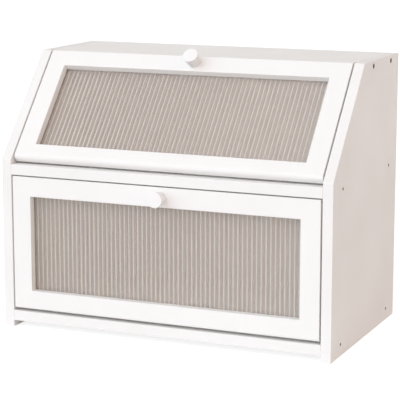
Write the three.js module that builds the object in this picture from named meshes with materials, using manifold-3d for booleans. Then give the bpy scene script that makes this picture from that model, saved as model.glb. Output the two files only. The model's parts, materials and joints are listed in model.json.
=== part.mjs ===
// Bread box with two drop-front doors, one above the other, each glazed with a fluted acrylic pane.
// Millimetres, +Z up, the front towards -Y and +X to the right. The origin lies on the ground,
// under the middle of the whole outline with the knobs counted in.

import * as THREE from 'three';
import { mergeVertices, toCreasedNormals } from 'three/addons/utils/BufferGeometryUtils.js';
import Module from 'manifold-3d';

const wasm = await Module();
wasm.setup();

// Case: two slanted side panels, three boards between them and a thin back panel in grooves.
const caseWidth = 400;
const caseDepth = 230;
const caseHeight = 313;
const frontHeight = 196.4;
const topDepth = 128.4;
const sideThickness = 12;
const boardThickness = 12;
const footHeight = 7.6;
const shelfBelowSlant = 5;

const backThickness = 3;
const backInset = 8;
const grooveDepth = 4.5;
const grooveClearance = 0.3;
const shelfBackGap = 0.5;

// Vent holes: one row across the back panel, near the top of each compartment.
const ventRadius = 4;
const ventPitch = 22;
const ventBelowCeiling = 20;
const ventCount = 7;

// Doors: one routed frame each, turning on two pins through its lower corners. The pins lie in the
// middle of the board's thickness, and the corners of the lower end are eased so that they swing
// clear of the board below.
const doorThickness = 12;
const doorSideGap = 1.8;
const doorSwingGap = 1.3;
const lowerDoorTopGap = 1.5;
const doorStopGap = 0.4;
const doorEndRadius = 1.5;
const pinFromEnd = 6;
const stileWidth = 22.5;
const lowerBottomRail = 22;
const upperBottomRail = 19;
const lowerTopRail = 22.5;
const upperTopRail = 20.6;

// Fluted panes, seated in a rebate routed into the back of each frame.
const rebateWidth = 7;
const paneClearance = 0.3;
const paneBase = 1.4;
const fluteDepth = 1.2;
const flutePitch = 5.5;
const facetsPerFlute = 6;

// Knobs: flat-faced cones, wider at the face than at the door.
const knobLength = 17;
const knobFaceRadius = 9;
const knobFootRadius = 6.3;
const knobEdgeRadius = 0.9;
const knobEdgeFacets = 4;
const knobBoreDepth = 11;

// Hinge pins: plain steel rods, fixed in the side panels and turning in the doors.
const pinRadius = 1.5;
const pinInSide = 8;
const pinInDoor = 14;
const pinFixedClearance = 0.1;
const pinTurningClearance = 0.15;
const pinEndClearance = 0.3;

// Catch magnets: discs let in flush, one in the door against one in the case.
const magnetRadius = 4;
const magnetThickness = 2;
const magnetClearance = 0.15;
const magnetFromSide = 48;

// Stop blocks under the shelf, behind the top rail of the lower door.
const stopBlockLength = 40;
const stopBlockDepth = 12;
const stopBlockHeight = 16;

// Screws. Lengths are measured from the face that seats in or on the wood.
const screwClearance = 0.15;
const caseScrew = {
  headRadius: 2.8, headHeight: 2.2, shankRadius: 1.6, length: 31, tipLength: 4, driveRadius: 1.2, driveDepth: 1.2,
};
const caseScrewSink = 0.8;
const caseScrewFromFront = 32;
const caseScrewFromRear = 30.5;
const knobScrew = {
  headRadius: 3.6, headHeight: 2.1, shankRadius: 1.9, length: 21, tipLength: 0.8, driveRadius: 1.6, driveDepth: 1.4,
};
const paneScrew = {
  headRadius: 2.2, headHeight: 1.3, shankRadius: 1, length: 8, tipLength: 2, driveRadius: 0.9, driveDepth: 0.8,
};
const paneScrewFromEdge = 3.5;
const paneScrewWidthShare = 0.6;
const panCrownShare = 0.6;

// Facets of round work, and the overrun that lets every cutter clear the face it starts from.
const pinFacets = 24;
const screwFacets = 12;
const ventFacets = 16;
const knobFacets = 40;
const edgeArcFacets = 6;
const creaseAngle = Math.PI / 6;
const cutOverrun = 1;

// Sizes that follow from the ones above.
const insideHalf = caseWidth / 2 - sideThickness;
const bottomTop = footHeight + boardThickness;
const shelfTop = frontHeight - shelfBelowSlant;
const shelfUnderside = shelfTop - boardThickness;
const topUnderside = caseHeight - boardThickness;
const slantRun = caseDepth - topDepth;
const slantTilt = Math.atan2(slantRun, caseHeight - frontHeight);
const backRear = caseDepth - backInset;
const backFront = backRear - backThickness;
const doorWidth = 2 * (insideHalf - doorSideGap);
const windowWidth = doorWidth - 2 * stileWidth;
const paneThickness = paneBase + fluteDepth;
const rebateDepth = paneThickness + paneClearance;
const doorFront = -doorThickness / 2;
const doorBack = doorThickness / 2;
const doorEnd = -pinFromEnd;
const doorSwing = Math.hypot(doorBack - doorEndRadius, pinFromEnd - doorEndRadius) + doorEndRadius;
const magnetFromCentre = insideHalf - magnetFromSide;

// Finishes
const paint = { color: 0xf5f3f0, roughness: 0.5, metalness: 0 };
const acrylic = { color: 0xe9e6e1, roughness: 0.12, metalness: 0, transparent: true, opacity: 0.4 };
const blackSteel = { color: 0x35312e, roughness: 0.5, metalness: 0.8 };
const brightSteel = { color: 0xb8b8b5, roughness: 0.3, metalness: 1 };

// Shape tools

function block([x0, x1], [y0, y1], [z0, z1]) {
  const box = new THREE.BoxGeometry(x1 - x0, y1 - y0, z1 - z0);
  return box.translate((x0 + x1) / 2, (y0 + y1) / 2, (z0 + z1) / 2);
}

// Shapes drawn in depth and height are extruded from one X to another.
const acrossAxes = new THREE.Matrix4().makeBasis(
  new THREE.Vector3(0, 1, 0),
  new THREE.Vector3(0, 0, 1),
  new THREE.Vector3(1, 0, 0),
);

function across(shape, [x0, x1]) {
  const settings = { depth: x1 - x0, bevelEnabled: false, curveSegments: edgeArcFacets };
  return new THREE.ExtrudeGeometry(shape, settings).applyMatrix4(acrossAxes).translate(x0, 0, 0);
}

function polygon(points) {
  return new THREE.Shape(points.map(([a, b]) => new THREE.Vector2(a, b)));
}

function turned(points, facets) {
  return new THREE.LatheGeometry(points.map(([r, h]) => new THREE.Vector2(r, h)), facets);
}

// A rod along Y or X.
function rod(radius, length, facets) {
  return new THREE.CylinderGeometry(radius, radius, length, facets);
}

function rodAcross(radius, length, facets) {
  return rod(radius, length, facets).rotateZ(-Math.PI / 2);
}

function solidOf(geometry) {
  const bare = geometry.clone();
  bare.deleteAttribute('normal');
  bare.deleteAttribute('uv');
  const welded = mergeVertices(bare);
  return new wasm.Manifold(new wasm.Mesh({
    numProp: 3,
    vertProperties: welded.attributes.position.array,
    triVerts: welded.index.array,
  }));
}

function cut(blank, cutters) {
  let solid = solidOf(blank);
  for (const cutter of cutters) solid = solid.subtract(solidOf(cutter));
  const mesh = solid.getMesh();
  const geometry = new THREE.BufferGeometry();
  geometry.setAttribute('position', new THREE.BufferAttribute(mesh.vertProperties, 3));
  geometry.setIndex(new THREE.BufferAttribute(mesh.triVerts, 1));
  return toCreasedNormals(geometry, creaseAngle);
}

function addPiece(parent, name, geometry, finish, x, y, z) {
  const mesh = new THREE.Mesh(geometry, new THREE.MeshStandardMaterial(finish));
  mesh.name = name;
  mesh.position.set(x, y, z);
  parent.add(mesh);
  return mesh;
}

// Screws stand along Y with the head's flat face up. A countersunk head lies below height zero,
// a pan head above it.

function countersunkScrew(s) {
  return turned([
    [0, -s.length],
    [s.shankRadius, s.tipLength - s.length],
    [s.shankRadius, -s.headHeight],
    [s.headRadius, 0],
    [s.driveRadius, 0],
    [0, -s.driveDepth],
  ], screwFacets);
}

function countersunkHole(s, sink) {
  const end = -s.length - screwClearance;
  const shank = s.shankRadius + screwClearance;
  const head = s.headRadius + screwClearance;
  const mouth = sink + cutOverrun;
  return turned([[0, end], [shank, end], [shank, -s.headHeight], [head, 0], [head, mouth], [0, mouth]], screwFacets);
}

function panScrew(s) {
  return turned([
    [0, -s.length],
    [s.shankRadius, s.tipLength - s.length],
    [s.shankRadius, 0],
    [s.headRadius, 0],
    [s.headRadius, s.headHeight * panCrownShare],
    [s.driveRadius, s.headHeight],
    [0, s.headHeight - s.driveDepth],
  ], screwFacets);
}

function panHole(s) {
  return rod(s.shankRadius + screwClearance, 2 * (s.length + screwClearance), screwFacets);
}

// Doors. Each is worked out in its own frame: the origin is the middle of the hinge line, Y points
// to the back through the door's thickness and Z runs up the door. The frame stands at the pins
// and leans back by the door's tilt. The swing is the reach of the eased corners from the pins.

function doorPlan({ level, tilt, floor, edgeTop, bottomRail, topRail, catchHeight }) {
  const pinZ = floor + doorSwingGap + doorSwing;
  const pinY = ((pinZ - frontHeight) * Math.sin(tilt) - doorFront) / Math.cos(tilt);
  const height = (edgeTop[0] - pinY) * Math.sin(tilt) + (edgeTop[1] - pinZ) * Math.cos(tilt);
  const windowTop = height - topRail;
  const catchDepth = doorBack + doorStopGap;
  return {
    level,
    tilt,
    pinY,
    pinZ,
    height,
    windowSill: doorEnd + bottomRail,
    windowTop,
    knobZ: (windowTop + height) / 2,
    catchZ: (catchHeight - pinZ + catchDepth * Math.sin(tilt)) / Math.cos(tilt),
    catchDepth,
  };
}

const lowerDoor = doorPlan({
  level: 'lower',
  tilt: 0,
  floor: bottomTop,
  edgeTop: [0, shelfUnderside - lowerDoorTopGap],
  bottomRail: lowerBottomRail,
  topRail: lowerTopRail,
  catchHeight: shelfUnderside - stopBlockHeight / 2,
});
const upperDoor = doorPlan({
  level: 'upper',
  tilt: slantTilt,
  floor: shelfTop,
  edgeTop: [slantRun, caseHeight],
  bottomRail: upperBottomRail,
  topRail: upperTopRail,
  catchHeight: caseHeight - boardThickness / 2,
});
const doors = [lowerDoor, upperDoor];
const sides = [{ side: 'left', sign: -1 }, { side: 'right', sign: 1 }];

function doorFrameGroup(door) {
  const group = new THREE.Group();
  group.position.set(0, door.pinY, door.pinZ);
  group.rotation.x = -door.tilt;
  return group;
}

// Side view of a door. The lower end is cut square to the face with both corners eased, and the
// top is cut level with the case.
function doorOutline(door) {
  const cornerZ = doorEnd + doorEndRadius;
  const shape = new THREE.Shape();
  shape.moveTo(doorFront, door.height);
  shape.lineTo(doorFront, cornerZ);
  shape.absarc(doorFront + doorEndRadius, cornerZ, doorEndRadius, Math.PI, 1.5 * Math.PI, false);
  shape.absarc(doorBack - doorEndRadius, cornerZ, doorEndRadius, 1.5 * Math.PI, 2 * Math.PI, false);
  shape.lineTo(doorBack, door.height + doorThickness * Math.tan(door.tilt));
  return shape;
}

function paneScrewPlaces(door) {
  const x = paneScrewWidthShare * windowWidth / 2;
  const low = door.windowSill - rebateWidth + paneClearance + paneScrewFromEdge;
  const high = door.windowTop + rebateWidth - paneClearance - paneScrewFromEdge;
  return [[-x, low], [x, low], [-x, high], [x, high]];
}

function doorFrame(door) {
  const half = windowWidth / 2;
  const cutters = [
    block([-half, half], [doorFront - cutOverrun, doorBack + cutOverrun], [door.windowSill, door.windowTop]),
    block(
      [-half - rebateWidth, half + rebateWidth],
      [doorBack - rebateDepth, doorBack + cutOverrun],
      [door.windowSill - rebateWidth, door.windowTop + rebateWidth],
    ),
    countersunkHole(knobScrew, 0).translate(0, doorBack, door.knobZ),
  ];
  for (const { sign } of sides) {
    const hole = pinInDoor + pinEndClearance + cutOverrun;
    const middle = sign * (doorWidth / 2 + cutOverrun - hole / 2);
    cutters.push(rodAcross(pinRadius + pinTurningClearance, hole, pinFacets).translate(middle, 0, 0));
    cutters.push(magnetPocket().rotateX(Math.PI).translate(sign * magnetFromCentre, doorBack, door.catchZ));
  }
  for (const [x, z] of paneScrewPlaces(door)) {
    cutters.push(panHole(paneScrew).translate(x, doorBack, z));
  }
  return cut(across(doorOutline(door), [-doorWidth / 2, doorWidth / 2]), cutters);
}

// A row of convex flutes along the front of the pane, which runs up the door with a flat back.
// Each flute is a round arc on its pitch, as high as the flutes are deep.
function flutedPane(door) {
  const width = windowWidth + 2 * (rebateWidth - paneClearance);
  const height = door.windowTop - door.windowSill + 2 * (rebateWidth - paneClearance);
  const flutes = Math.round(width / flutePitch);
  const pitch = width / flutes;
  const steps = flutes * facetsPerFlute;
  const radius = (pitch * pitch / 4 + fluteDepth * fluteDepth) / (2 * fluteDepth);
  const outline = [[width / 2, 0], [-width / 2, 0]];
  for (let step = 0; step <= steps; step += 1) {
    const fromCrest = ((step % facetsPerFlute) / facetsPerFlute - 1 / 2) * pitch;
    const rise = Math.sqrt(radius * radius - fromCrest * fromCrest) - radius + fluteDepth;
    outline.push([(step / steps - 1 / 2) * width, -paneBase - rise]);
  }
  const settings = { depth: height, bevelEnabled: false };
  const foot = door.windowSill - rebateWidth + paneClearance;
  const blank = new THREE.ExtrudeGeometry(polygon(outline), settings).translate(0, 0, foot);
  return cut(blank, paneScrewPlaces(door).map(([x, z]) => panHole(paneScrew).translate(x, 0, z)));
}

// The knob stands along Y on its foot, with a blind bore for its screw.
function knobShape() {
  const bore = knobScrew.shankRadius + screwClearance;
  const points = [[0, knobBoreDepth], [bore, knobBoreDepth], [bore, 0], [knobFootRadius, 0]];
  for (let step = 0; step <= knobEdgeFacets; step += 1) {
    const turn = (Math.PI / 2) * (step / knobEdgeFacets);
    points.push([
      knobFaceRadius - knobEdgeRadius * (1 - Math.cos(turn)),
      knobLength - knobEdgeRadius * (1 - Math.sin(turn)),
    ]);
  }
  points.push([0, knobLength]);
  return turned(points, knobFacets);
}

function magnetDisc() {
  return rod(magnetRadius, magnetThickness, pinFacets);
}

// Cutter of a blind pocket that opens at height zero towards -Y and lets a magnet in flush.
function magnetPocket() {
  const depth = magnetThickness + magnetClearance;
  const length = depth + cutOverrun;
  return rod(magnetRadius + magnetClearance, length, pinFacets).translate(0, depth - length / 2, 0);
}

function addDoor(parent, door) {
  const { level, knobZ, catchZ, catchDepth } = door;
  const group = doorFrameGroup(door);
  parent.add(group);
  addPiece(group, `${level}_door_frame`, doorFrame(door), paint, 0, 0, 0);
  addPiece(group, `${level}_fluted_pane`, flutedPane(door), acrylic, 0, doorBack, 0);
  const knob = addPiece(group, `${level}_knob`, knobShape(), paint, 0, doorFront, knobZ);
  knob.rotation.x = Math.PI;
  addPiece(group, `${level}_knob_screw`, countersunkScrew(knobScrew), brightSteel, 0, doorBack, knobZ);
  paneScrewPlaces(door).forEach(([x, z], index) => {
    addPiece(group, `${level}_pane_screw_${index + 1}`, panScrew(paneScrew), brightSteel, x, doorBack, z);
  });
  for (const { side, sign } of sides) {
    const x = sign * magnetFromCentre;
    const half = magnetThickness / 2;
    addPiece(group, `${level}_door_magnet_${side}`, magnetDisc(), brightSteel, x, doorBack - half, catchZ);
    addPiece(group, `${level}_case_magnet_${side}`, magnetDisc(), brightSteel, x, catchDepth + half, catchZ);
  }
}

// Case

// Centres of the screws that hold one side: two into the end of each board.
function caseScrewPlaces() {
  const rows = [
    { front: 0, height: footHeight + boardThickness / 2 },
    { front: 0, height: shelfUnderside + boardThickness / 2 },
    { front: slantRun, height: topUnderside + boardThickness / 2 },
  ];
  return rows.flatMap(({ front, height }) => [
    [front + caseScrewFromFront, height],
    [caseDepth - caseScrewFromRear, height],
  ]);
}

// A screw driven into a side from outside, with its head just below the face.
function driven(geometry, sign) {
  return geometry.rotateZ(-sign * Math.PI / 2).translate(sign * (sideThickness - caseScrewSink), 0, 0);
}

// Drawn from its inner face outwards.
function sidePanel(sign) {
  const outline = polygon([
    [0, 0],
    [caseDepth, 0],
    [caseDepth, caseHeight],
    [slantRun, caseHeight],
    [0, frontHeight],
  ]);
  const span = sign > 0 ? [0, sideThickness] : [-sideThickness, 0];
  const grooveSpan = sign > 0 ? [-cutOverrun, grooveDepth] : [-grooveDepth, cutOverrun];
  const cutters = [block(
    grooveSpan,
    [backFront - grooveClearance, backRear + grooveClearance],
    [bottomTop - grooveDepth, topUnderside + grooveDepth],
  )];
  for (const door of doors) {
    const hole = pinInSide + pinEndClearance + cutOverrun;
    const middle = sign * (hole / 2 - cutOverrun);
    const radius = pinRadius + pinFixedClearance;
    cutters.push(rodAcross(radius, hole, pinFacets).translate(middle, door.pinY, door.pinZ));
  }
  for (const [y, z] of caseScrewPlaces()) {
    cutters.push(driven(countersunkHole(caseScrew, caseScrewSink), sign).translate(0, y, z));
  }
  return cut(across(outline, span), cutters);
}

// Bores in both ends of a board for the screws of one row, drawn about the board's middle.
function endBores(height) {
  const bores = [];
  for (const [y, z] of caseScrewPlaces().filter((place) => place[1] === height)) {
    for (const { sign } of sides) {
      const bore = driven(countersunkHole(caseScrew, caseScrewSink), sign);
      bores.push(bore.translate(sign * insideHalf, y, 0));
    }
  }
  return bores;
}

function backGroove([z0, z1]) {
  return block(
    [-insideHalf - cutOverrun, insideHalf + cutOverrun],
    [backFront - grooveClearance, backRear + grooveClearance],
    [z0, z1],
  );
}

const halfBoard = boardThickness / 2;

function bottomBoard() {
  const blank = block([-insideHalf, insideHalf], [0, caseDepth], [-halfBoard, halfBoard]);
  const groove = backGroove([halfBoard - grooveDepth, halfBoard + cutOverrun]);
  return cut(blank, [...endBores(footHeight + halfBoard), groove]);
}

function middleShelf() {
  const blank = block([-insideHalf, insideHalf], [0, backFront - shelfBackGap], [-halfBoard, halfBoard]);
  return cut(blank, endBores(shelfUnderside + halfBoard));
}

// The front edge of the top board is cut to the slant, and the upper door closes against it.
function topBoard() {
  const behindSlant = doorThickness + doorStopGap;
  const edge = (height) => (
    (behindSlant + (height - frontHeight) * Math.sin(slantTilt)) / Math.cos(slantTilt)
  );
  const outline = polygon([
    [edge(topUnderside), -halfBoard],
    [caseDepth, -halfBoard],
    [caseDepth, halfBoard],
    [edge(caseHeight), halfBoard],
  ]);
  const cutters = endBores(topUnderside + halfBoard);
  cutters.push(backGroove([-halfBoard - cutOverrun, grooveDepth - halfBoard]));
  for (const { sign } of sides) {
    const pocket = magnetPocket().translate(sign * magnetFromCentre, upperDoor.catchDepth, upperDoor.catchZ);
    pocket.rotateX(-upperDoor.tilt).translate(0, upperDoor.pinY, upperDoor.pinZ - topUnderside - halfBoard);
    cutters.push(pocket);
  }
  return cut(across(outline, [-insideHalf, insideHalf]), cutters);
}

// The back panel is loose in its grooves by the clearance on every side.
function backPanel() {
  const tongue = grooveDepth - grooveClearance;
  const low = bottomTop - tongue;
  const high = topUnderside + tongue;
  const half = insideHalf + tongue;
  const vents = [];
  for (const ceiling of [shelfUnderside, topUnderside]) {
    for (let index = 0; index < ventCount; index += 1) {
      const x = (index - (ventCount - 1) / 2) * ventPitch;
      const drill = rod(ventRadius, backThickness + 2 * cutOverrun, ventFacets);
      vents.push(drill.translate(x, (backFront + backRear) / 2, ceiling - ventBelowCeiling));
    }
  }
  return cut(block([-half, half], [backFront, backRear], [low, high]), vents);
}

// Drawn from the middle of its top face, with the magnet's pocket in the front.
function stopBlock() {
  const half = stopBlockLength / 2;
  const blank = block([-half, half], [0, stopBlockDepth], [-stopBlockHeight, 0]);
  return cut(blank, [magnetPocket().translate(0, 0, -stopBlockHeight / 2)]);
}

function addCase(parent) {
  for (const { side, sign } of sides) {
    addPiece(parent, `side_panel_${side}`, sidePanel(sign), paint, sign * insideHalf, 0, 0);
    caseScrewPlaces().forEach(([y, z], index) => {
      const screw = driven(countersunkScrew(caseScrew), sign);
      addPiece(parent, `case_screw_${side}_${index + 1}`, screw, blackSteel, sign * insideHalf, y, z);
    });
    for (const door of doors) {
      const length = pinInSide + doorSideGap + pinInDoor;
      const middle = sign * (insideHalf + pinInSide - length / 2);
      const pin = rodAcross(pinRadius, length, pinFacets);
      addPiece(parent, `${door.level}_hinge_pin_${side}`, pin, brightSteel, middle, door.pinY, door.pinZ);
    }
    const blockX = sign * magnetFromCentre;
    const blockY = doorThickness + doorStopGap;
    addPiece(parent, `lower_stop_block_${side}`, stopBlock(), paint, blockX, blockY, shelfUnderside);
  }
  addPiece(parent, 'bottom_board', bottomBoard(), paint, 0, 0, footHeight + halfBoard);
  addPiece(parent, 'middle_shelf', middleShelf(), paint, 0, 0, shelfUnderside + halfBoard);
  addPiece(parent, 'top_board', topBoard(), paint, 0, 0, topUnderside + halfBoard);
  addPiece(parent, 'back_panel', backPanel(), paint, 0, 0, 0);
}

const assembly = new THREE.Group();
assembly.position.y = (knobLength - caseDepth) / 2;
addCase(assembly);
doors.forEach((door) => addDoor(assembly, door));

const breadBox = new THREE.Group();
breadBox.add(assembly);

export default breadBox;
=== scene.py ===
# Bread box with two drop-front doors, one above the other, each glazed with fluted acrylic.
# Metres, +Z up, the front towards -Y and +X to the right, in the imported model's own frame.

import json
import math

import bmesh
import bpy
from mathutils import Matrix, Vector


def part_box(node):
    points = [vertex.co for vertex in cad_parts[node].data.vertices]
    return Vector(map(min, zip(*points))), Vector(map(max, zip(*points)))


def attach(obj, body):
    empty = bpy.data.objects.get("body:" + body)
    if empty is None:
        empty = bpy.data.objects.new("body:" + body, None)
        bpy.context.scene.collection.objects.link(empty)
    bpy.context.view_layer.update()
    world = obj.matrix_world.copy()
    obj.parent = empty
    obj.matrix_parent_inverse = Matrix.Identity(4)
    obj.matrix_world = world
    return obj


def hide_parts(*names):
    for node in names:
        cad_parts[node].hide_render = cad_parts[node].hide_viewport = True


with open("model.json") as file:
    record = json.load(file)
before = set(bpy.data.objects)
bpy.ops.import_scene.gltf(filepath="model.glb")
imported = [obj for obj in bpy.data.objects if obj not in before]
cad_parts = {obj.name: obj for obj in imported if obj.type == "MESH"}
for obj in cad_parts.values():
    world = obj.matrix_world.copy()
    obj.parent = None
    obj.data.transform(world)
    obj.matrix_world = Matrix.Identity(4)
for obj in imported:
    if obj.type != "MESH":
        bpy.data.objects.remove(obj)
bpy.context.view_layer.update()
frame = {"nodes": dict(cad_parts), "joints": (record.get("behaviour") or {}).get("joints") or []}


# Side panels
# Two 12 mm fibreboards, sawn to the slanted outline, with their edges sanded round. They are
# grooved for the back and sprayed white. Last they are bored for the hinge rods and drilled for
# the case screws. In the screw holes the board is bare, its brown made dark as painted shade.

front_height = 0.1964
slant_run = 0.1016
edge_round = 0.0007
edge_steps = 3
groove_slack = 0.0003
rod_slack = 0.0001
screw_slack = 0.00015
screw_head = 0.0028
screw_head_height = 0.0022
screw_shank = 0.0016
screw_numbers = range(1, 7)
last_small_screw = 4
small_screw_size = 0.6
overrun = 0.001
round_sides = 48
crease_angle = 35

side_low, side_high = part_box("side_panel_right")
front, rear, roof = side_low.y, side_high.y, side_high.z
inside, outside = side_low.x, side_high.x
rear_low, rear_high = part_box("back_panel")
groove_front = rear_low.y - groove_slack
groove_back = rear_high.y + groove_slack
groove_floor = rear_low.z - groove_slack
groove_ceiling = rear_high.z + groove_slack
slant_lean = math.atan2(slant_run, roof - front_height)
levels = ("lower", "upper")
hands = {"left": -1, "right": 1}


def as_piece(name, work):
    """An object at the origin, with its place in its mesh, from a bmesh."""
    bmesh.ops.recalc_face_normals(work, faces=work.faces)
    mesh = bpy.data.meshes.new(name)
    work.to_mesh(mesh)
    work.free()
    piece = bpy.data.objects.new(name, mesh)
    bpy.context.scene.collection.objects.link(piece)
    return piece


def sawn(name, outline, start, end):
    """A board with a side outline of (depth, height) points, from one X to another."""
    work = bmesh.new()
    near = [work.verts.new((start, depth, height)) for depth, height in outline]
    far = [work.verts.new((end, depth, height)) for depth, height in outline]
    work.faces.new(near)
    work.faces.new(far)
    for index in range(len(outline)):
        after = (index + 1) % len(outline)
        work.faces.new((near[index], near[after], far[after], far[index]))
    return as_piece(name, work)


def squared(name, low, high):
    """A block between two corners."""
    outline = [(low[1], low[2]), (high[1], low[2]), (high[1], high[2]), (low[1], high[2])]
    return sawn(name, outline, low[0], high[0])


def turned(name, profile, place=(0, 0, 0), axis=(0, 0, 1), sides=round_sides):
    """A piece turned about an axis. Its profile is (distance along the axis, radius) points, and a
    radius may be a function of the angle."""
    work = bmesh.new()
    rings = []
    for distance, radius in profile:
        ring = []
        for step in range(sides if radius else 1):
            angle = math.tau * step / sides
            reach = radius(angle) if callable(radius) else radius
            ring.append(work.verts.new((reach * math.cos(angle), reach * math.sin(angle), distance)))
        rings.append(ring)
    for ring, following in zip(rings, rings[1:]):
        for step in range(sides):
            after = step + 1
            here, here_next = ring[step % len(ring)], ring[after % len(ring)]
            there, there_next = following[step % len(following)], following[after % len(following)]
            work.faces.new(list(dict.fromkeys((here, here_next, there_next, there))))
    aim = Vector((0, 0, 1)).rotation_difference(Vector(axis)).to_matrix().to_4x4()
    bmesh.ops.transform(work, matrix=Matrix.Translation(place) @ aim, verts=work.verts)
    return as_piece(name, work)


def settle(piece):
    """Turns a piece's modifiers into its plain mesh."""
    graph = bpy.context.evaluated_depsgraph_get()
    mesh = bpy.data.meshes.new_from_object(piece.evaluated_get(graph), depsgraph=graph)
    piece.modifiers.clear()
    piece.data = mesh


def ease_edges(piece, radius):
    """Sands every sharp edge round."""
    bevel = piece.modifiers.new("sanded edges", "BEVEL")
    bevel.width = radius
    bevel.segments = edge_steps
    bevel.limit_method = "ANGLE"
    settle(piece)


def cut_away(piece, tools):
    """Cuts each tool's shape out of a piece, and puts the tools away."""
    for tool in tools:
        cut = piece.modifiers.new("cut", "BOOLEAN")
        cut.solver = "EXACT"
        cut.object = tool
    settle(piece)
    for tool in tools:
        bpy.data.objects.remove(tool)


def smooth(piece, crease=crease_angle, even=False):
    """Smooth shading between creases. Even shading keeps flat faces flat beside rounded edges."""
    piece.data.shade_smooth()
    piece.data.set_sharp_from_angle(angle=math.radians(crease))
    if even:
        weighted = piece.modifiers.new("even shading", "WEIGHTED_NORMAL")
        weighted.keep_sharp = True
        settle(piece)


def drill(place, axis, radius, depth, sides=round_sides):
    """A drill bit that starts just outside a face and ends at a depth."""
    profile = [(-overrun, 0), (-overrun, radius), (depth, radius), (depth, 0)]
    return turned("drill", profile, place, axis, sides)


def countersink(place, axis, head, head_height, shank, length, sink=0):
    """A drill bit for a countersunk screw, whose head lies a little below the face."""
    mouth = -sink - overrun
    head_cut = [(mouth, 0), (mouth, head), (0, head), (head_height, shank)]
    profile = [*head_cut, (length, shank), (length, 0)]
    return turned("countersink", profile, place, axis)


def add_node(tree, kind, inputs=None, **settings):
    """Adds a node. An input given as a socket is linked, and any other is set."""
    node = tree.nodes.new(kind)
    for setting, value in settings.items():
        setattr(node, setting, value)
    for key, value in (inputs or {}).items():
        if isinstance(value, bpy.types.NodeSocket):
            tree.links.new(value, node.inputs[key])
        else:
            node.inputs[key].default_value = value
    return node


def worked(tree, operation, *values, use_clamp=False):
    """The result of a sum on numbers and sockets."""
    settings = {"operation": operation, "use_clamp": use_clamp}
    return add_node(tree, "ShaderNodeMath", dict(enumerate(values)), **settings).outputs[0]


def noise(tree, place, scale, detail, roughness=0.5):
    """Clouds of a number round a half, smaller for a larger scale."""
    inputs = {"Vector": place, "Scale": scale, "Detail": detail, "Roughness": roughness}
    return add_node(tree, "ShaderNodeTexNoise", inputs).outputs["Fac"]


def ramp(tree, factor, low, high, start=0.3, end=0.7):
    """A colour between two others, by a factor."""
    node = add_node(tree, "ShaderNodeValToRGB", {"Fac": factor})
    node.color_ramp.elements[0].position = start
    node.color_ramp.elements[0].color = (*low, 1)
    node.color_ramp.elements[1].position = end
    node.color_ramp.elements[1].color = (*high, 1)
    return node.outputs["Color"]


def between(tree, factor, low, high, start=0.3, end=0.7):
    """A number between two others, by a factor."""
    inputs = {"Value": factor, "From Min": start, "From Max": end, "To Min": low, "To Max": high}
    return add_node(tree, "ShaderNodeMapRange", inputs).outputs["Result"]


def mixed(tree, factor, first, second):
    """The first colour where a factor is zero, and the second where it is one."""
    inputs = {"Factor": factor, 6: first, 7: second}
    return add_node(tree, "ShaderNodeMix", inputs, data_type="RGBA").outputs[2]


def roughen(tree, surface, height, strength, distance):
    """Bumps a surface's shading by a height."""
    inputs = {"Strength": strength, "Distance": distance, "Height": height}
    bump = add_node(tree, "ShaderNodeBump", inputs)
    tree.links.new(bump.outputs["Normal"], surface.inputs["Normal"])


def new_material(name):
    """A material, its node tree and its surface shader."""
    material = bpy.data.materials.new(name)
    material.use_nodes = True
    tree = material.node_tree
    return material, tree, tree.nodes["Principled BSDF"]


case_light = (0.905, 0.897, 0.885)
case_shade = (0.88, 0.87, 0.856)
case_gloss = (0.4, 0.52)
lacquer_ior = 1.48
cloud_scale = 11
peel_scale = 620
fibre_scale = 1500
grain_height = 0.00006
edge_roughening = 0.14


def sprayed_white(name, light, shade, face_axis, gloss=case_gloss):
    """Satin white lacquer on board. The faces have a faint orange peel and clouds of tone. The
    sawn edges, square to the face's axis, drink the paint and stay rougher."""
    material, tree, surface = new_material(name)
    where = add_node(tree, "ShaderNodeTexCoord").outputs
    clouds = noise(tree, where["Object"], cloud_scale, detail=5, roughness=0.6)
    peel = noise(tree, where["Object"], peel_scale, detail=2, roughness=0.45)
    fibres = noise(tree, where["Object"], fibre_scale, detail=3, roughness=0.6)
    facing = add_node(
        tree, "ShaderNodeVectorMath", {0: where["Normal"], 1: face_axis}, operation="DOT_PRODUCT"
    )
    flatness = worked(tree, "ABSOLUTE", facing.outputs["Value"])
    edge = between(tree, flatness, 1, 0, start=0.5, end=0.9)
    tree.links.new(ramp(tree, clouds, shade, light), surface.inputs["Base Color"])
    face_gloss = between(tree, clouds, gloss[1], gloss[0])
    rougher = worked(tree, "MULTIPLY_ADD", edge, edge_roughening, face_gloss, use_clamp=True)
    tree.links.new(rougher, surface.inputs["Roughness"])
    grain = add_node(tree, "ShaderNodeMix", {"Factor": edge, 2: peel, 3: fibres}).outputs[0]
    roughen(tree, surface, grain, strength=0.35, distance=grain_height)
    surface.inputs["IOR"].default_value = lacquer_ior
    return material


side_paint = sprayed_white("side_paint", case_light, case_shade, (1, 0, 0))


# Brown of the bare board in the screw holes, made dark as painted shade of the countersinks.
board_and_painted_shade_light = (0.26, 0.19, 0.135)
board_and_painted_shade_dark = (0.17, 0.12, 0.08)
bare_fibre_scale = 1800
flat_face_aim = 0.9


def board_and_painted_shade_in_holes(material):
    """Shows the board's brown, darkened as painted shade of the holes, on a piece's marked faces."""
    tree = material.node_tree
    colour = tree.nodes["Principled BSDF"].inputs["Base Color"]
    place = add_node(tree, "ShaderNodeTexCoord").outputs["Object"]
    fibres = noise(tree, place, bare_fibre_scale, detail=3)
    board = ramp(tree, fibres, board_and_painted_shade_dark, board_and_painted_shade_light)
    bare_and_shaded = add_node(tree, "ShaderNodeAttribute", attribute_name="bare_and_shaded").outputs["Fac"]
    paint = colour.links[0].from_socket
    tree.links.new(mixed(tree, bare_and_shaded, paint, board), colour)


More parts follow.
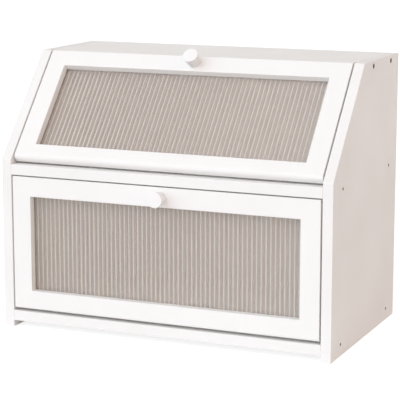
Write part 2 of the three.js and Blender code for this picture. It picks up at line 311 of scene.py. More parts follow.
def mark_bare_and_shaded(panel, places, reach):
    """Marks the faces inside the holes round some places in a panel's side, for the brown and its
    painted shade.
    """
    bare_and_shaded = panel.data.attributes.new("bare_and_shaded", "FLOAT", "FACE")
    for face in panel.data.polygons:
        in_a_hole = any(math.dist(face.center[1:], place[1:]) < reach for place in places)
        bare_and_shaded.data[face.index].value = float(in_a_hole and abs(face.normal.x) < flat_face_aim)


board_and_painted_shade_in_holes(side_paint)


def case_screw(hand, index):
    """Middle of a case screw's face, and its size beside the large ones in the top board."""
    low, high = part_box(f"case_screw_{hand}_{index}")
    place = (low + high) / 2
    place.x = hands[hand] * max(abs(low.x), abs(high.x))
    return place, small_screw_size if index <= last_small_screw else 1


for hand, sign in hands.items():
    outline = [
        (front, 0),
        (rear, 0),
        (rear, roof),
        (front + slant_run, roof),
        (front, front_height),
    ]
    panel = sawn(f"side_board_{hand}", outline, sign * inside, sign * outside)
    ease_edges(panel, edge_round)
    groove_ends = sorted((sign * (inside - overrun), sign * (rear_high.x + groove_slack)))
    tools = [squared(
        "groove",
        (groove_ends[0], groove_front, groove_floor),
        (groove_ends[1], groove_back, groove_ceiling),
    )]
    for level in levels:
        low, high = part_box(f"{level}_hinge_pin_{hand}")
        place = (sign * inside, (low.y + high.y) / 2, (low.z + high.z) / 2)
        depth = max(abs(low.x), abs(high.x)) - inside + groove_slack
        tools.append(drill(place, (sign, 0, 0), (high.z - low.z) / 2 + rod_slack, depth))
    screws = [case_screw(hand, index) for index in screw_numbers]
    for place, size in screws:
        tools.append(countersink(
            place, (-sign, 0, 0), size * screw_head + screw_slack, size * screw_head_height,
            size * screw_shank + screw_slack, abs(place.x) - inside + overrun, outside - abs(place.x),
        ))
    cut_away(panel, tools)
    smooth(panel, even=True)
    mark_bare_and_shaded(panel, [place for place, size in screws], screw_head + 2 * screw_slack)
    panel.data.materials.append(side_paint)
    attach(panel, "case")
    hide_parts(f"side_panel_{hand}")


# Boards
# Three 12 mm fibreboards held between the side panels. The bottom and top boards are grooved for
# the back. The top board's front edge is planed to the slant, and the upper door closes on it.

door_thickness = 0.012
door_stop_gap = 0.0004
magnet_thickness = 0.002
magnet_slack = 0.00015
case_screw_length = 0.031
small_hole_sides = 24

board_paint = sprayed_white("board_paint", case_light, case_shade, (0, 0, 1))
into_door = {
    "lower": Vector((0, 1, 0)),
    "upper": Vector((0, math.cos(slant_lean), -math.sin(slant_lean))),
}


def magnet_pocket(node, level):
    """A drill bit for the pocket that a magnet of the case lies in, flush with the face."""
    low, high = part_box(node)
    face = (low + high) / 2 - into_door[level] * magnet_thickness / 2
    radius = (high.x - low.x) / 2 + magnet_slack
    return drill(face, into_door[level], radius, magnet_thickness + magnet_slack)


def slanted_edge(height):
    """Where the top board's planed front edge is at a height."""
    behind = door_thickness + door_stop_gap
    return front + (behind + (height - front_height) * math.sin(slant_lean)) / math.cos(slant_lean)


def groove(mouth, end):
    """Side outline of the groove for the back, from the height of its mouth to that of its end."""
    return [(groove_front, mouth), (groove_front, end), (groove_back, end), (groove_back, mouth)]


def board_outline(node):
    """Side outline of one of the three boards, with its groove if it has one."""
    low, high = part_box(node)
    rear_edge = [(high.y, low.z), (high.y, high.z)]
    if node == "bottom_board":
        bottom_groove = reversed(groove(high.z, groove_floor))
        return [(low.y, low.z), *rear_edge, *bottom_groove, (low.y, high.z)]
    if node == "top_board":
        nose = [(slanted_edge(high.z), high.z), (slanted_edge(low.z), low.z)]
        return [*nose, *groove(low.z, groove_ceiling), *rear_edge]
    return [(low.y, low.z), *rear_edge, (low.y, high.z)]


boards = {"base_board": "bottom_board", "shelf_board": "middle_shelf", "roof_board": "top_board"}
for row, (name, node) in enumerate(boards.items()):
    board = sawn(name, board_outline(node), -inside, inside)
    ease_edges(board, edge_round / 2)
    tools = []
    for hand, sign in hands.items():
        for index in (2 * row + 1, 2 * row + 2):
            place, size = case_screw(hand, index)
            radius = size * screw_shank + screw_slack
            depth = size * case_screw_length - abs(place.x) + inside + screw_slack
            place.x = sign * inside
            tools.append(drill(place, (-sign, 0, 0), radius, depth, small_hole_sides))
        if node == "top_board":
            tools.append(magnet_pocket(f"upper_case_magnet_{hand}", "upper"))
    cut_away(board, tools)
    smooth(board, even=True)
    board.data.materials.append(board_paint)
    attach(board, "case")
    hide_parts(node)


# Back panel
# One sheet of 3 mm hardboard, painted and slid into the grooves before the top board goes on. A
# row of drilled holes near the top of each compartment lets damp air out.

vent_radius = 0.004
vent_pitch = 0.022
vent_count = 7
vent_sides = 40
vent_below_ceiling = 0.02
back_light = (0.885, 0.876, 0.86)
back_shade = (0.85, 0.84, 0.822)
back_gloss = (0.5, 0.62)


def sized_tree(name, sockets):
    """A Geometry Nodes tree that changes a mesh, with a named input for each size."""
    tree = bpy.data.node_groups.new(name, "GeometryNodeTree")
    tree.interface.new_socket("Geometry", in_out="INPUT", socket_type="NodeSocketGeometry")
    tree.interface.new_socket("Geometry", in_out="OUTPUT", socket_type="NodeSocketGeometry")
    for socket, kind in sockets.items():
        tree.interface.new_socket(socket, in_out="INPUT", socket_type=f"NodeSocket{kind}")
    given = tree.nodes.new("NodeGroupInput").outputs
    result = tree.nodes.new("NodeGroupOutput").inputs[0]
    return tree, given, result


def finish_tree(tree, geometry, material, result):
    """Ends a tree: every instance becomes plain mesh, and the mesh gets its finish."""
    real = add_node(tree, "GeometryNodeRealizeInstances", {"Geometry": geometry})
    inputs = {"Geometry": real.outputs[0], "Material": material}
    dressed = add_node(tree, "GeometryNodeSetMaterial", inputs)
    tree.links.new(dressed.outputs[0], result)


def run_tree(piece, tree, sizes):
    """Runs a tree on a piece, and keeps the result as its plain mesh."""
    modifier = piece.modifiers.new(tree.name, "NODES")
    modifier.node_group = tree
    for socket in tree.interface.items_tree:
        if socket.name in sizes:
            modifier[socket.identifier] = sizes[socket.name]
    settle(piece)


def vent_tree():
    """Drills two rows of vents through a sheet that stands upright."""
    tree, given, result = sized_tree("vents", {
        "Radius": "Float", "Pitch": "Float", "Count": "Int", "Depth": "Float", "Low Row": "Vector",
        "High Row": "Vector", "Finish": "Material",
    })
    step = add_node(tree, "ShaderNodeCombineXYZ", {"X": given["Pitch"]})
    rows = add_node(tree, "GeometryNodeJoinGeometry")
    for row in ("Low Row", "High Row"):
        line = add_node(tree, "GeometryNodeMeshLine", {
            "Count": given["Count"], "Start Location": given[row], "Offset": step.outputs[0],
        })
        tree.links.new(line.outputs["Mesh"], rows.inputs[0])
    bit = add_node(tree, "GeometryNodeMeshCylinder", {
        "Vertices": vent_sides, "Radius": given["Radius"], "Depth": given["Depth"],
    })
    bits = add_node(tree, "GeometryNodeInstanceOnPoints", {
        "Points": rows.outputs[0], "Instance": bit.outputs["Mesh"], "Rotation": (math.pi / 2, 0, 0),
    })
    real = add_node(tree, "GeometryNodeRealizeInstances", {"Geometry": bits.outputs[0]})
    drilled = add_node(tree, "GeometryNodeMeshBoolean", {
        "Mesh 1": given["Geometry"], "Mesh 2": real.outputs[0],
    })
    finish_tree(tree, drilled.outputs["Mesh"], given["Finish"], result)
    return tree


back_paint = sprayed_white("back_paint", back_light, back_shade, (0, 1, 0), back_gloss)
back_board = squared("rear_board", rear_low, rear_high)
ease_edges(back_board, edge_round / 3)
vent_start = -(vent_count - 1) / 2 * vent_pitch
vent_depth = (rear_low.y + rear_high.y) / 2
run_tree(back_board, vent_tree(), {
    "Radius": vent_radius,
    "Pitch": vent_pitch,
    "Count": vent_count,
    "Depth": rear_high.y - rear_low.y + 2 * overrun,
    "Low Row": (vent_start, vent_depth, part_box("middle_shelf")[0].z - vent_below_ceiling),
    "High Row": (vent_start, vent_depth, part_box("top_board")[0].z - vent_below_ceiling),
    "Finish": back_paint,
})
smooth(back_board, even=True)
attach(back_board, "case")
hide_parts("back_panel")


# Case screws
# Six countersunk joint screws in each side, two into the end of each board. Those in the top board
# are larger than the rest. They are steel with a black oxide finish, turned and then rolled with a
# coarse thread, and driven by a hexagon key.

case_screw_tip = 0.004
hexagon_half = 0.00125
hexagon_depth = 0.0016
thread_pitch = 0.0016
thread_depth = 0.0005
thread_steps = 16
ridge_sides = 4
smooth_shank = 0.009
socket_ease = 0.0001
head_ease = 0.00015
oxide_light = (0.038, 0.035, 0.033)
oxide_shade = (0.02, 0.018, 0.017)
patch_scale = 420
mark_scale = 2600
mark_depth = 0.00003


def hexagon(angle):
    """Reach of a hexagon socket at an angle."""
    sixth = math.tau / 6
    return hexagon_half / math.cos(angle % sixth - sixth / 2)


def thread_tree():
    """Rolls a thread on a shank that points up: a small ridge along a helix."""
    tree, given, result = sized_tree("rolled thread", {
        "Start": "Float", "Length": "Float", "Pitch": "Float", "Ridge": "Float", "Shank": "Float",
        "Finish": "Material",
    })
    rounds = worked(tree, "DIVIDE", given["Length"], given["Pitch"])
    helix = add_node(tree, "GeometryNodeCurveSpiral", {
        "Resolution": thread_steps, "Rotations": rounds, "Start Radius": given["Shank"],
        "End Radius": given["Shank"], "Height": given["Length"],
    })
    ridge = add_node(tree, "GeometryNodeCurvePrimitiveCircle", {
        "Resolution": ridge_sides, "Radius": given["Ridge"],
    })
    swept = add_node(tree, "GeometryNodeCurveToMesh", {
        "Curve": helix.outputs[0], "Profile Curve": ridge.outputs[0], "Fill Caps": True,
    })
    start = add_node(tree, "ShaderNodeCombineXYZ", {"Z": given["Start"]})
    lifted = add_node(tree, "GeometryNodeTransform", {
        "Geometry": swept.outputs[0], "Translation": start.outputs[0],
    })
    both = add_node(tree, "GeometryNodeJoinGeometry")
    tree.links.new(given["Geometry"], both.inputs[0])
    tree.links.new(lifted.outputs[0], both.inputs[0])
    finish_tree(tree, both.outputs[0], given["Finish"], result)
    return tree


def copies_tree():
    """Sets a copy of a body at each point, with the point's size and its Z along the point's aim."""
    tree, given, result = sized_tree("copies at places", {"Body": "Object", "Finish": "Material"})
    body = add_node(tree, "GeometryNodeObjectInfo", {"Object": given["Body"]})
    aim = add_node(tree, "GeometryNodeInputNamedAttribute", {"Name": "aim"}, data_type="FLOAT_VECTOR")
    turn = add_node(tree, "FunctionNodeAlignRotationToVector", {"Vector": aim.outputs[0]})
    size = add_node(tree, "GeometryNodeInputNamedAttribute", {"Name": "size"}, data_type="FLOAT")
    placed = add_node(tree, "GeometryNodeInstanceOnPoints", {
        "Points": given["Geometry"], "Instance": body.outputs["Geometry"],
        "Rotation": turn.outputs[0], "Scale": size.outputs[0],
    })
    finish_tree(tree, placed.outputs[0], given["Finish"], result)
    return tree


thread_rolls = thread_tree()
copies = copies_tree()


def set_copies(name, body, places, aims, finish, crease=crease_angle, sizes=None):
    """One piece made of copies of a body, which is then put away."""
    mesh = bpy.data.meshes.new(name)
    mesh.from_pydata(places, [], [])
    aim = mesh.attributes.new("aim", "FLOAT_VECTOR", "POINT")
    aim.data.foreach_set("vector", [number for direction in aims for number in direction])
    size = mesh.attributes.new("size", "FLOAT", "POINT")
    size.data.foreach_set("value", sizes or [1] * len(places))
    piece = bpy.data.objects.new(name, mesh)
    bpy.context.scene.collection.objects.link(piece)
    run_tree(piece, copies, {"Body": body, "Finish": finish})
    smooth(piece, crease)
    bpy.data.objects.remove(body)
    return piece


def plated(name, light, shade, metallic, rough, fine_rough, shine=0.5):
    """Steel with a finish: patches of tone and gloss, and fine turning marks."""
    material, tree, surface = new_material(name)
    place = add_node(tree, "ShaderNodeTexCoord").outputs["Object"]
    patches = noise(tree, place, patch_scale, detail=4)
    marks = noise(tree, place, mark_scale, detail=2)
    tree.links.new(ramp(tree, patches, shade, light), surface.inputs["Base Color"])
    tree.links.new(between(tree, patches, rough, fine_rough), surface.inputs["Roughness"])
    roughen(tree, surface, marks, strength=0.3, distance=mark_depth)
    surface.inputs["Metallic"].default_value = metallic
    surface.inputs["Specular IOR Level"].default_value = shine
    return material


def driven_screw(
    finish, head, head_height, shank, length, tip, plain, pitch, ridge, socket, socket_depth
):
    """A countersunk screw along Z, its head's face at zero and its thread below the plain shank."""
    body = turned("driven_screw", [
        (socket_depth, 0),
        (socket_depth, socket),
        (socket_ease, socket),
        (0, lambda angle: socket(angle) + socket_ease),
        (0, head - head_ease),
        (head_ease, head),
        (head_height, shank),
        (length - tip, shank),
        (length, 0),
    ])
    run_tree(body, thread_rolls, {
        "Start": plain,
        "Length": length - tip - plain,
        "Pitch": pitch,
        "Ridge": ridge,
        "Shank": shank,
        "Finish": finish,
    })
    return body


black_oxide = plated(
    "black_oxide", oxide_light, oxide_shade, metallic=0.3, rough=0.7, fine_rough=0.55, shine=0.2
)
screw_body = driven_screw(
    black_oxide, head=screw_head, head_height=screw_head_height, shank=screw_shank,
    length=case_screw_length, tip=case_screw_tip, plain=smooth_shank, pitch=thread_pitch,
    ridge=thread_depth, socket=hexagon, socket_depth=hexagon_depth,
)
screw_ids = [(hand, index) for hand in hands for index in screw_numbers]
screw_faces, screw_sizes = zip(*(case_screw(*screw_id) for screw_id in screw_ids))
screw_aims = [(-hands[hand], 0, 0) for hand, index in screw_ids]
case_screws = set_copies(
    "joint_screws", screw_body, screw_faces, screw_aims, black_oxide, sizes=screw_sizes
)
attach(case_screws, "case")
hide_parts(*(f"case_screw_{hand}_{index}" for hand, index in screw_ids))


# Hinge rods
# Four plain zinc-plated steel rods with rounded ends, pressed into the side panels. They stand out
# into the lower corners of the doors, which turn on them.

rod_end_round = 0.0003
end_steps = 4
zinc_light = (0.66, 0.66, 0.65)
zinc_shade = (0.5, 0.5, 0.49)
zinc = plated("zinc", zinc_light, zinc_shade, metallic=1, rough=0.34, fine_rough=0.2)


def quarter_turn(steps):
    """Angles from zero to a right angle."""
    return [math.pi / 2 * step / steps for step in range(steps + 1)]


def round_bar(name, radius, length, edge):
    """A bar or disc along Z about the origin, with rounded ends."""
    far_end = []
    for turn in quarter_turn(end_steps):
        distance = length / 2 - edge * (1 - math.sin(turn))
        far_end.append((distance, radius - edge * (1 - math.cos(turn))))
    far_end.append((length / 2, 0))
    near_end = [(-distance, reach) for distance, reach in reversed(far_end)]
    return turned(name, near_end + far_end)


rod_nodes = [f"{level}_hinge_pin_{hand}" for level in levels for hand in hands]
rod_boxes = [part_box(node) for node in rod_nodes]
rod_low, rod_high = rod_boxes[0]
rod_body = round_bar("rod", (rod_high.z - rod_low.z) / 2, rod_high.x - rod_low.x, rod_end_round)
rod_places = [(low + high) / 2 for low, high in rod_boxes]
rods = set_copies("hinge_rods", rod_body, rod_places, [(1, 0, 0)] * len(rod_nodes), zinc)
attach(rods, "case")
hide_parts(*rod_nodes)


# Stop blocks
# Two small painted blocks glued under the shelf. The lower door's top rail closes on them, and
# each holds a magnet in its face.

block_paint = sprayed_white("block_paint", case_light, case_shade, (0, 1, 0))
for hand in hands:
    low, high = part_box(f"lower_stop_block_{hand}")
    block = squared(f"stop_block_{hand}", low, high)
    ease_edges(block, edge_round)
    cut_away(block, [magnet_pocket(f"lower_case_magnet_{hand}", "lower")])
    smooth(block, even=True)
    block.data.materials.append(block_paint)
    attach(block, "case")
    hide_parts(f"lower_stop_block_{hand}")


# Case magnets
# Nickel-plated discs, glued into their pockets with their faces flush: two in the stop blocks and
# two in the slanted edge of the top board.

magnet_edge = 0.00025
nickel_light = (0.7, 0.69, 0.66)
nickel_shade = (0.6, 0.59, 0.565)
nickel = plated("nickel", nickel_light, nickel_shade, metallic=1, rough=0.22, fine_rough=0.12)


def set_magnets(name, nodes, aims):
    """Magnet discs where the model has them, facing along their aims."""
    boxes = [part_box(node) for node in nodes]
    radius = (boxes[0][1].x - boxes[0][0].x) / 2
    body = round_bar("disc", radius, magnet_thickness, magnet_edge)
    return set_copies(name, body, [(low + high) / 2 for low, high in boxes], aims, nickel)


magnet_nodes = [f"{level}_case_magnet_{hand}" for level in levels for hand in hands]
magnet_aims = [into_door[node.split("_")[0]] for node in magnet_nodes]
case_magnets = set_magnets("case_discs", magnet_nodes, magnet_aims)
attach(case_magnets, "case")
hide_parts(*magnet_nodes)


# Door frames
# Each is one fibreboard with its window routed out and a rebate behind for the pane. The lower end
# is planed round, more in front than behind and most on the upper door, so that it swings clear on
# its rods. The top is cut level with the case.

pin_from_end = 0.006
door_front_round = {"lower": 0.0028, "upper": 0.005}
door_back_round = {"lower": 0.0015, "upper": 0.003}
round_steps = 12
door_light = (0.915, 0.907, 0.895)
door_shade = (0.892, 0.883, 0.87)
door_front = -door_thickness / 2
door_back = door_thickness / 2
rod_turning_slack = 0.00015
window_lap = 0.0067
rebate = 0.007
rebate_depth = 0.0029
knob_screw_head = 0.0036
knob_screw_head_height = 0.0021
knob_screw_shank = 0.0019
knob_screw_length = 0.021
pane_screw_shank = 0.001
pane_screw_length = 0.008
pane_screw_numbers = range(1, 5)


def in_door(door, node):
    """Lowest and highest corner of a node, measured in a door's own upright frame."""
    away = door["place"].inverted()
    corners = [away @ vertex.co for vertex in frame["nodes"][node].data.vertices]
    return Vector(map(min, *corners)), Vector(map(max, *corners))


doors = []
for level, lean, joint in zip(levels, (0, slant_lean), frame["joints"]):
    door = {"level": level, "lean": lean, "body": joint["child"]}
    door["place"] = Matrix.Translation(joint["pos_m"]) @ Matrix.Rotation(-lean, 4, "X")
    door["low"], door["high"] = in_door(door, f"{level}_door_frame")
    door["pane_low"], door["pane_high"] = in_door(door, f"{level}_fluted_pane")
    doors.append(door)


def door_outline(door):
    """Side outline in the door's own frame: down the front, round the lower end and up the back."""
    back_top = door["high"].z
    front_top = back_top - door_thickness * math.tan(door["lean"])
    points = [(door_front, front_top)]
    radius = door_front_round[door["level"]]
    for turn in quarter_turn(round_steps):
        height = radius * (1 - math.sin(turn)) - pin_from_end
        points.append((door_front + radius * (1 - math.cos(turn)), height))
    radius = door_back_round[door["level"]]
    for turn in quarter_turn(round_steps):
        height = radius * (1 - math.cos(turn)) - pin_from_end
        points.append((door_back - radius * (1 - math.sin(turn)), height))
    points.append((door_back, back_top))
    return points


def door_drills(door):
    """Drill bits for the hinge rods, the magnets and the screws, in the door's own frame."""
    level = door["level"]
    inward = (0, -1, 0)
    bits = []
    for hand, sign in hands.items():
        rod_low, rod_high = in_door(door, f"{level}_hinge_pin_{hand}")
        edge = sign * door["high"].x
        radius = (rod_high.z - rod_low.z) / 2 + rod_turning_slack
        depth = abs(edge) - min(abs(rod_low.x), abs(rod_high.x)) + groove_slack
        bits.append(drill((edge, 0, 0), (-sign, 0, 0), radius, depth))
        node = f"{level}_door_magnet_{hand}"
        disc_low, disc_high = in_door(door, node)
        radius = (disc_high.x - disc_low.x) / 2 + magnet_slack
        bits.append(drill(on_back(door, node), inward, radius, magnet_thickness + magnet_slack))
    bits.append(countersink(
        on_back(door, f"{level}_knob_screw"), inward, knob_screw_head + screw_slack,
        knob_screw_head_height, knob_screw_shank + screw_slack, knob_screw_length,
    ))
    radius = pane_screw_shank + screw_slack
    for place in pane_screw_places(door):
        bits.append(drill(place, inward, radius, pane_screw_length + screw_slack, small_hole_sides))
    return bits


def on_back(door, node):
    """Where a node's middle lies on the back of its door, in the door's own frame."""
    low, high = in_door(door, node)
    return Vector(((low.x + high.x) / 2, door_back, (low.z + high.z) / 2))


def pane_screw_places(door):
    """Where the pane's four screws enter the back of the door, in its own frame."""
    return [on_back(door, f"{door['level']}_pane_screw_{index}") for index in pane_screw_numbers]


for door in doors:
    level = door["level"]
    half = door["pane_high"].x - window_lap
    sill = door["pane_low"].z + window_lap
    lintel = door["pane_high"].z - window_lap
    blank = sawn(f"{level}_door_board", door_outline(door), door["low"].x, door["high"].x)
    cut_away(blank, [
        squared("window", (-half, door_front - overrun, sill), (half, door_back + overrun, lintel)),
        squared(
            "rebate",
            (-half - rebate, door_back - rebate_depth, sill - rebate),
            (half + rebate, door_back + overrun, lintel + rebate),
        ),
    ])
    ease_edges(blank, edge_round)
    cut_away(blank, door_drills(door))
    blank.data.transform(door["place"])
    smooth(blank, even=True)
    door_paint = sprayed_white(f"{level}_door_paint", door_light, door_shade, into_door[level])
    blank.data.materials.append(door_paint)
    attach(blank, door["body"])
    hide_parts(f"{level}_door_frame")


# Fluted panes
# Clear acrylic sheet, extruded with a row of round flutes that run up its front. The back is
# flat. It lies in the rebate, where it is sawn to fit and drilled for its four screws.

pane_base = 0.0014
flute_depth = 0.0012
flute_pitch = 0.0055
flute_facets = 16
flute_crease = 30
weld_distance = 0.0000001
acrylic_ior = 1.49
die_line_scale = 700
die_line_depth = 0.00001
haze_scale = 30
shadow_tone = (0.98, 0.95, 0.92, 1)
valley_share = 0.6
# Darker warm crests and paler valleys: painted shade and painted light of the flutes' stripes.
crest_painted_shade = (0.77, 0.69, 0.625)
valley_painted_light = (1, 0.957, 0.915)
crest_clear = 0.735
valley_clear = 0.56


def flute_tree():
    """A sheet whose front is a row of round arcs, swept up from its section. Its back is at zero.
    Points of the section run along the flutes, and the last two are the back's corners."""
    tree, given, result = sized_tree("fluted sheet", {
        "Width": "Float", "Height": "Float", "Base": "Float", "Flute Depth": "Float", "Flutes": "Int",
        "Facets": "Int", "Finish": "Material",
    })

    def reckon(operation, *values):
        return worked(tree, operation, *values)

    def ratio(value, whole):
        return worked(tree, "DIVIDE", value, whole)

    def times(first, second):
        return worked(tree, "MULTIPLY", first, second)

    def less(value, taken):
        return worked(tree, "SUBTRACT", value, taken)

    def square(value):
        return worked(tree, "POWER", value, 2)

    steps = times(given["Flutes"], given["Facets"])
    index = add_node(tree, "GeometryNodeInputIndex").outputs[0]
    across = times(less(ratio(index, steps), 0.5), given["Width"])
    half_pitch = ratio(ratio(given["Width"], given["Flutes"]), 2)
    flute_share = ratio(reckon("MODULO", index, given["Facets"]), given["Facets"])
    from_crest = times(reckon("MULTIPLY_ADD", flute_share, 2, -1), half_pitch)
    chord = ratio(square(half_pitch), given["Flute Depth"])
    radius = ratio(reckon("ADD", chord, given["Flute Depth"]), 2)
    reach = reckon("SQRT", less(square(radius), square(from_crest)))
    rise = reckon("ADD", less(reach, radius), given["Flute Depth"])
    depth = times(reckon("ADD", rise, given["Base"]), -1)
    at_back = reckon("GREATER_THAN", index, steps)
    back_share = reckon("ADD", less(steps, index), 1.5)
    back_corner = times(back_share, given["Width"])
    x = reckon("MULTIPLY_ADD", at_back, less(back_corner, across), across)
    y = times(less(1, at_back), depth)
    points = reckon("ADD", steps, 3)
    section = add_node(tree, "GeometryNodeCurvePrimitiveCircle", {"Resolution": points})
    place = add_node(tree, "ShaderNodeCombineXYZ", {"X": x, "Y": y})
    drawn = add_node(tree, "GeometryNodeSetPosition", {
        "Geometry": section.outputs[0], "Position": place.outputs[0],
    })
    filled = add_node(tree, "GeometryNodeFillCurve", {"Curve": drawn.outputs[0]}, mode="NGONS")
    upward = add_node(tree, "ShaderNodeCombineXYZ", {"Z": given["Height"]})
    grown = add_node(tree, "GeometryNodeExtrudeMesh", {
        "Mesh": filled.outputs[0], "Offset": upward.outputs[0], "Offset Scale": 1,
        "Individual": False,
    })
    foot = add_node(tree, "GeometryNodeFlipFaces", {"Mesh": filled.outputs[0]})
    shell = add_node(tree, "GeometryNodeJoinGeometry")
    tree.links.new(grown.outputs["Mesh"], shell.inputs[0])
    tree.links.new(foot.outputs[0], shell.inputs[0])
    closed = add_node(tree, "GeometryNodeMergeByDistance", {
        "Geometry": shell.outputs[0], "Distance": weld_distance,
    })
    finish_tree(tree, closed.outputs[0], given["Finish"], result)
    return tree


def fluted_acrylic(name, width, flutes):
    """Clear sheet, a little milky. Its crests are darker and warmer and its valleys paler and
    milkier, as painted shade and light for the flutes' stripes. It has faint die lines, uneven gloss,
    and a pale shadow."""
    material, tree, surface = new_material(name)
    place = add_node(tree, "ShaderNodeTexCoord").outputs["Object"]
    across = add_node(tree, "ShaderNodeSeparateXYZ", {"Vector": place}).outputs["X"]
    half_flute = width / flutes / 2
    from_valley = worked(tree, "PINGPONG", worked(tree, "ADD", across, width / 2), half_flute)
    crest = between(tree, from_valley, 0, 1, start=0, end=half_flute * valley_share)
    clear = between(tree, crest, valley_clear, crest_clear)
    tree.links.new(ramp(tree, crest, valley_painted_light, crest_painted_shade), surface.inputs["Base Color"])
    tree.links.new(clear, surface.inputs["Transmission Weight"])
    along = add_node(tree, "ShaderNodeCombineXYZ", {"X": across}).outputs[0]
    lines = noise(tree, along, die_line_scale, detail=2)
    haze = noise(tree, place, haze_scale, detail=3)
    tree.links.new(between(tree, haze, low=0.02, high=0.06), surface.inputs["Roughness"])
    roughen(tree, surface, lines, strength=0.1, distance=die_line_depth)
    surface.inputs["IOR"].default_value = acrylic_ior
    through = add_node(tree, "ShaderNodeBsdfTransparent", {"Color": shadow_tone})
    path = add_node(tree, "ShaderNodeLightPath")
    both = add_node(tree, "ShaderNodeMixShader", {
        0: path.outputs["Is Shadow Ray"], 1: surface.outputs[0], 2: through.outputs[0],
    })
    tree.links.new(both.outputs[0], tree.nodes["Material Output"].inputs["Surface"])
    return material


fluted_sheet = flute_tree()
for door in doors:
    level = door["level"]
    low, high = door["pane_low"], door["pane_high"]
    pane_width = high.x - low.x
    flutes = round(pane_width / flute_pitch)
    pane = squared(f"{level}_acrylic", low, high)
    run_tree(pane, fluted_sheet, {
        "Width": pane_width,
        "Height": high.z - low.z,
        "Base": pane_base,
        "Flute Depth": flute_depth,
        "Flutes": flutes,
        "Facets": flute_facets,
        "Finish": fluted_acrylic(f"{level}_acrylic", pane_width, flutes),
    })
    pane.data.transform(Matrix.Translation((0, high.y, low.z)))
    radius = pane_screw_shank + screw_slack
    cut_away(pane, [
        drill(place, (0, -1, 0), radius, rebate_depth + overrun, small_hole_sides)
        for place in pane_screw_places(door)
    ])
    pane.data.transform(door["place"])
    smooth(pane, flute_crease)
    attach(pane, door["body"])
    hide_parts(f"{level}_fluted_pane")


# Pane screws
# Four small pan-head screws to a pane, through its margin into the frame. They are zinc plated,
# with a cross recess.

pan_radius = 0.0022
pan_height = 0.0013
dome_share = 0.38
dome_steps = 5
pan_screw_tip = 0.002
pan_thread_pitch = 0.0009
pan_thread_depth = 0.0002
cross_core = 0.00035
cross_wing = 0.0009
cross_narrowness = 5
cross_depth = 0.0009
cross_end_share = 0.6
screw_crease = 40


def cross(angle):
    """Reach of a cross recess at an angle: four narrow wings round a small core."""
    return cross_core + cross_wing * abs(math.cos(2 * angle)) ** cross_narrowness


def pan_screw():
    """A pan-head screw along Z, seated at zero with its domed head above it."""
    dome = []
    for turn in quarter_turn(dome_steps):
        reach = pan_radius * (1 - dome_share + dome_share * math.sin(turn))
        dome.append((-pan_height * math.cos(turn), reach))
    body = turned("pan_screw", [
        (cross_depth - pan_height, 0),
        (cross_depth - pan_height, lambda angle: cross(angle) * cross_end_share),
        (-pan_height, cross),
        *dome,
        (0, pane_screw_shank),
        (pane_screw_length - pan_screw_tip, pane_screw_shank),
        (pane_screw_length, 0),
    ])
    run_tree(body, thread_rolls, {
        "Start": pan_screw_tip,
        "Length": pane_screw_length - 2 * pan_screw_tip,
        "Pitch": pan_thread_pitch,
        "Ridge": pan_thread_depth,
        "Shank": pane_screw_shank,
        "Finish": zinc,
    })
    return body


for door in doors:
    level = door["level"]
    places = [door["place"] @ place for place in pane_screw_places(door)]
    aims = [-into_door[level]] * len(places)
    screws = set_copies(f"{level}_pan_screws", pan_screw(), places, aims, zinc, screw_crease)
    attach(screws, door["body"])
    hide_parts(*(f"{level}_pane_screw_{index}" for index in pane_screw_numbers))


# Knobs
# Hardwood, turned to a cone that is wider at its face, with the face's edge rounded. It is bored
# for its screw and sprayed like the door.

knob_length = 0.017
knob_face = 0.009
knob_foot = 0.0063
knob_edge = 0.0008
knob_foot_ease = 0.0003
knob_bore = 0.011
knob_sides = 96
knob_crease = 50
knob_light = (0.915, 0.91, 0.9)
knob_shade = (0.895, 0.888, 0.876)
knob_gloss = (0.36, 0.46)

for door in doors:
    level = door["level"]
    low, high = in_door(door, f"{level}_knob")
    seat = door["place"] @ Vector((0, door_front, (low.z + high.z) / 2))
    bore = knob_screw_shank + screw_slack
    profile = [
        (knob_bore, 0),
        (knob_bore, bore),
        (0, bore),
        (0, knob_foot - knob_foot_ease),
        (knob_foot_ease, knob_foot),
    ]
    for turn in quarter_turn(round_steps):
        distance = knob_length - knob_edge * (1 - math.sin(turn))
        profile.append((distance, knob_face - knob_edge * (1 - math.cos(turn))))
    profile.append((knob_length, 0))
    knob = turned(f"{level}_turned_knob", profile, seat, -into_door[level], knob_sides)
    smooth(knob, knob_crease)
    knob.data.materials.append(sprayed_white(
        f"{level}_knob_paint", knob_light, knob_shade, into_door[level], knob_gloss
    ))
    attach(knob, door["body"])
    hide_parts(f"{level}_knob")


# Knob screws
# One countersunk screw from the back of each door into its knob, flush with the board. It is zinc
# plated with a cross recess.

knob_screw_tip = 0.0008
knob_screw_plain = 0.009
knob_thread_pitch = 0.0008
knob_thread_depth = 0.00015
knob_cross_size = 1.7
knob_cross_depth = 0.0014


def knob_cross(angle):
    """Reach of the knob screw's larger cross recess at an angle."""
    return knob_cross_size * cross(angle)


for door in doors:
    level = door["level"]
    face = door["place"] @ on_back(door, f"{level}_knob_screw")
    body = driven_screw(
        zinc, head=knob_screw_head, head_height=knob_screw_head_height, shank=knob_screw_shank,
        length=knob_screw_length, tip=knob_screw_tip, plain=knob_screw_plain,
        pitch=knob_thread_pitch, ridge=knob_thread_depth, socket=knob_cross,
        socket_depth=knob_cross_depth,
    )
    aims = [-into_door[level]]
    screw = set_copies(f"{level}_knob_fixing", body, [face], aims, zinc, screw_crease)
    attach(screw, door["body"])
    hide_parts(f"{level}_knob_screw")


# Door magnets
# Two more nickel-plated discs in the back of each door, glued flush into drilled pockets. When the
# door is shut they meet the ones in the case.

for door in doors:
    level = door["level"]
    nodes = [f"{level}_door_magnet_{hand}" for hand in hands]
    discs = set_magnets(f"{level}_door_discs", nodes, [into_door[level]] * len(nodes))
    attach(discs, door["body"])
    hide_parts(*nodes)


# Studio
# A pale floor that keeps the box's soft shadow, even warm light from all round, one large window
# to the left of the camera and a warm reflector to its right.

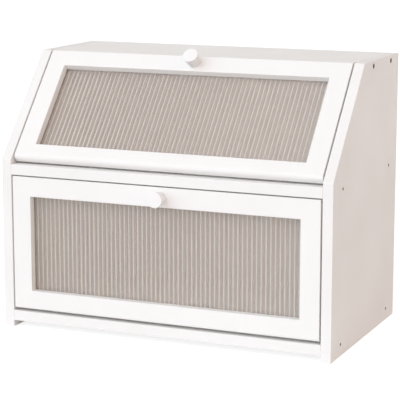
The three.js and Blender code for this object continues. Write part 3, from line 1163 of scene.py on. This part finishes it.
floor_reach = 30
floor_tone = (0.88, 0.875, 0.87, 1)
floor_seen_tone = (0.45, 0.45, 0.455, 1)
floor_glow = 0.78
room_tone = (1, 0.92, 0.843, 1)
room_strength = 0.51
white_tone = (1, 1, 1, 1)


def seen_itself(tree):
    """One for a ray that shows the surroundings, straight, mirrored or through glass, and zero for
    one that only brings their light."""
    path = add_node(tree, "ShaderNodeLightPath").outputs
    straight_or_mirrored = worked(tree, "MAXIMUM", path["Is Camera Ray"], path["Is Glossy Ray"])
    return worked(tree, "MAXIMUM", straight_or_mirrored, path["Is Transmission Ray"])


def pale_floor():
    """A white floor with a faint shadow: part of what is seen of it glows, and the rest is lit."""
    material, tree, surface = new_material("studio_floor")
    tree.nodes.remove(surface)
    seen = seen_itself(tree)
    tone = mixed(tree, seen, floor_tone, floor_seen_tone)
    glow = worked(tree, "MULTIPLY", seen, floor_glow)
    lit = add_node(tree, "ShaderNodeBsdfDiffuse", {"Color": tone})
    glowing = add_node(tree, "ShaderNodeEmission", {"Color": white_tone, "Strength": glow})
    both = add_node(tree, "ShaderNodeAddShader", {0: lit.outputs[0], 1: glowing.outputs[0]})
    tree.links.new(both.outputs[0], tree.nodes["Material Output"].inputs["Surface"])
    return material


work = bmesh.new()
corners = [(-1, -1), (1, -1), (1, 1), (-1, 1)]
work.faces.new([work.verts.new((x * floor_reach, y * floor_reach, 0)) for x, y in corners])
floor = as_piece("studio_floor", work)
floor.data.materials.append(pale_floor())

world = bpy.data.worlds.new("studio")
bpy.context.scene.world = world
world.use_nodes = True
tree = world.node_tree
soft = tree.nodes["Background"]
soft.inputs["Color"].default_value = room_tone
soft.inputs["Strength"].default_value = room_strength
white = add_node(tree, "ShaderNodeBackground", {"Color": white_tone, "Strength": 1})
both = add_node(tree, "ShaderNodeMixShader", {
    0: seen_itself(tree), 1: soft.outputs[0], 2: white.outputs[0],
})
tree.links.new(both.outputs[0], tree.nodes["World Output"].inputs["Surface"])


def add_lamp(name, energy, tone, spread, towards):
    """A large soft lamp, as wide as its spread in degrees, that lies in a direction."""
    light = bpy.data.lights.new(name, "SUN")
    light.energy = energy
    light.color = tone
    light.angle = math.radians(spread)
    lamp = bpy.data.objects.new(name, light)
    lamp.rotation_mode = "QUATERNION"
    lamp.rotation_quaternion = Vector(towards).to_track_quat("Z", "Y")
    bpy.context.scene.collection.objects.link(lamp)


add_lamp("window", energy=2.335, tone=(0.758, 0.882, 1), spread=90, towards=(-0.5, -0.81, 0.3))
add_lamp("reflector", energy=0.97, tone=(1, 0.69, 0.61), spread=100, towards=(0.72, -0.69, 0.1))
bpy.context.scene.view_settings.view_transform = "Standard"


# Camera
# A long lens at the photograph's angle: from the right of the box's front, a little above its top,
# and tipped down to it.

yaw = math.radians(23.319)
pitch = math.radians(10.817)
lens_length = 145.27
film_width = 36
camera_place = (0.7308, -1.69187, 0.49743)

camera_data = bpy.data.cameras.new("camera")
camera_data.sensor_width = film_width
camera_data.lens = lens_length
camera = bpy.data.objects.new("camera", camera_data)
camera.location = camera_place
ahead = Vector((-math.sin(yaw) * math.cos(pitch), math.cos(yaw) * math.cos(pitch), -math.sin(pitch)))
camera.rotation_mode = "QUATERNION"
camera.rotation_quaternion = ahead.to_track_quat("-Z", "Y")
bpy.context.scene.collection.objects.link(camera)
bpy.context.scene.camera = camera
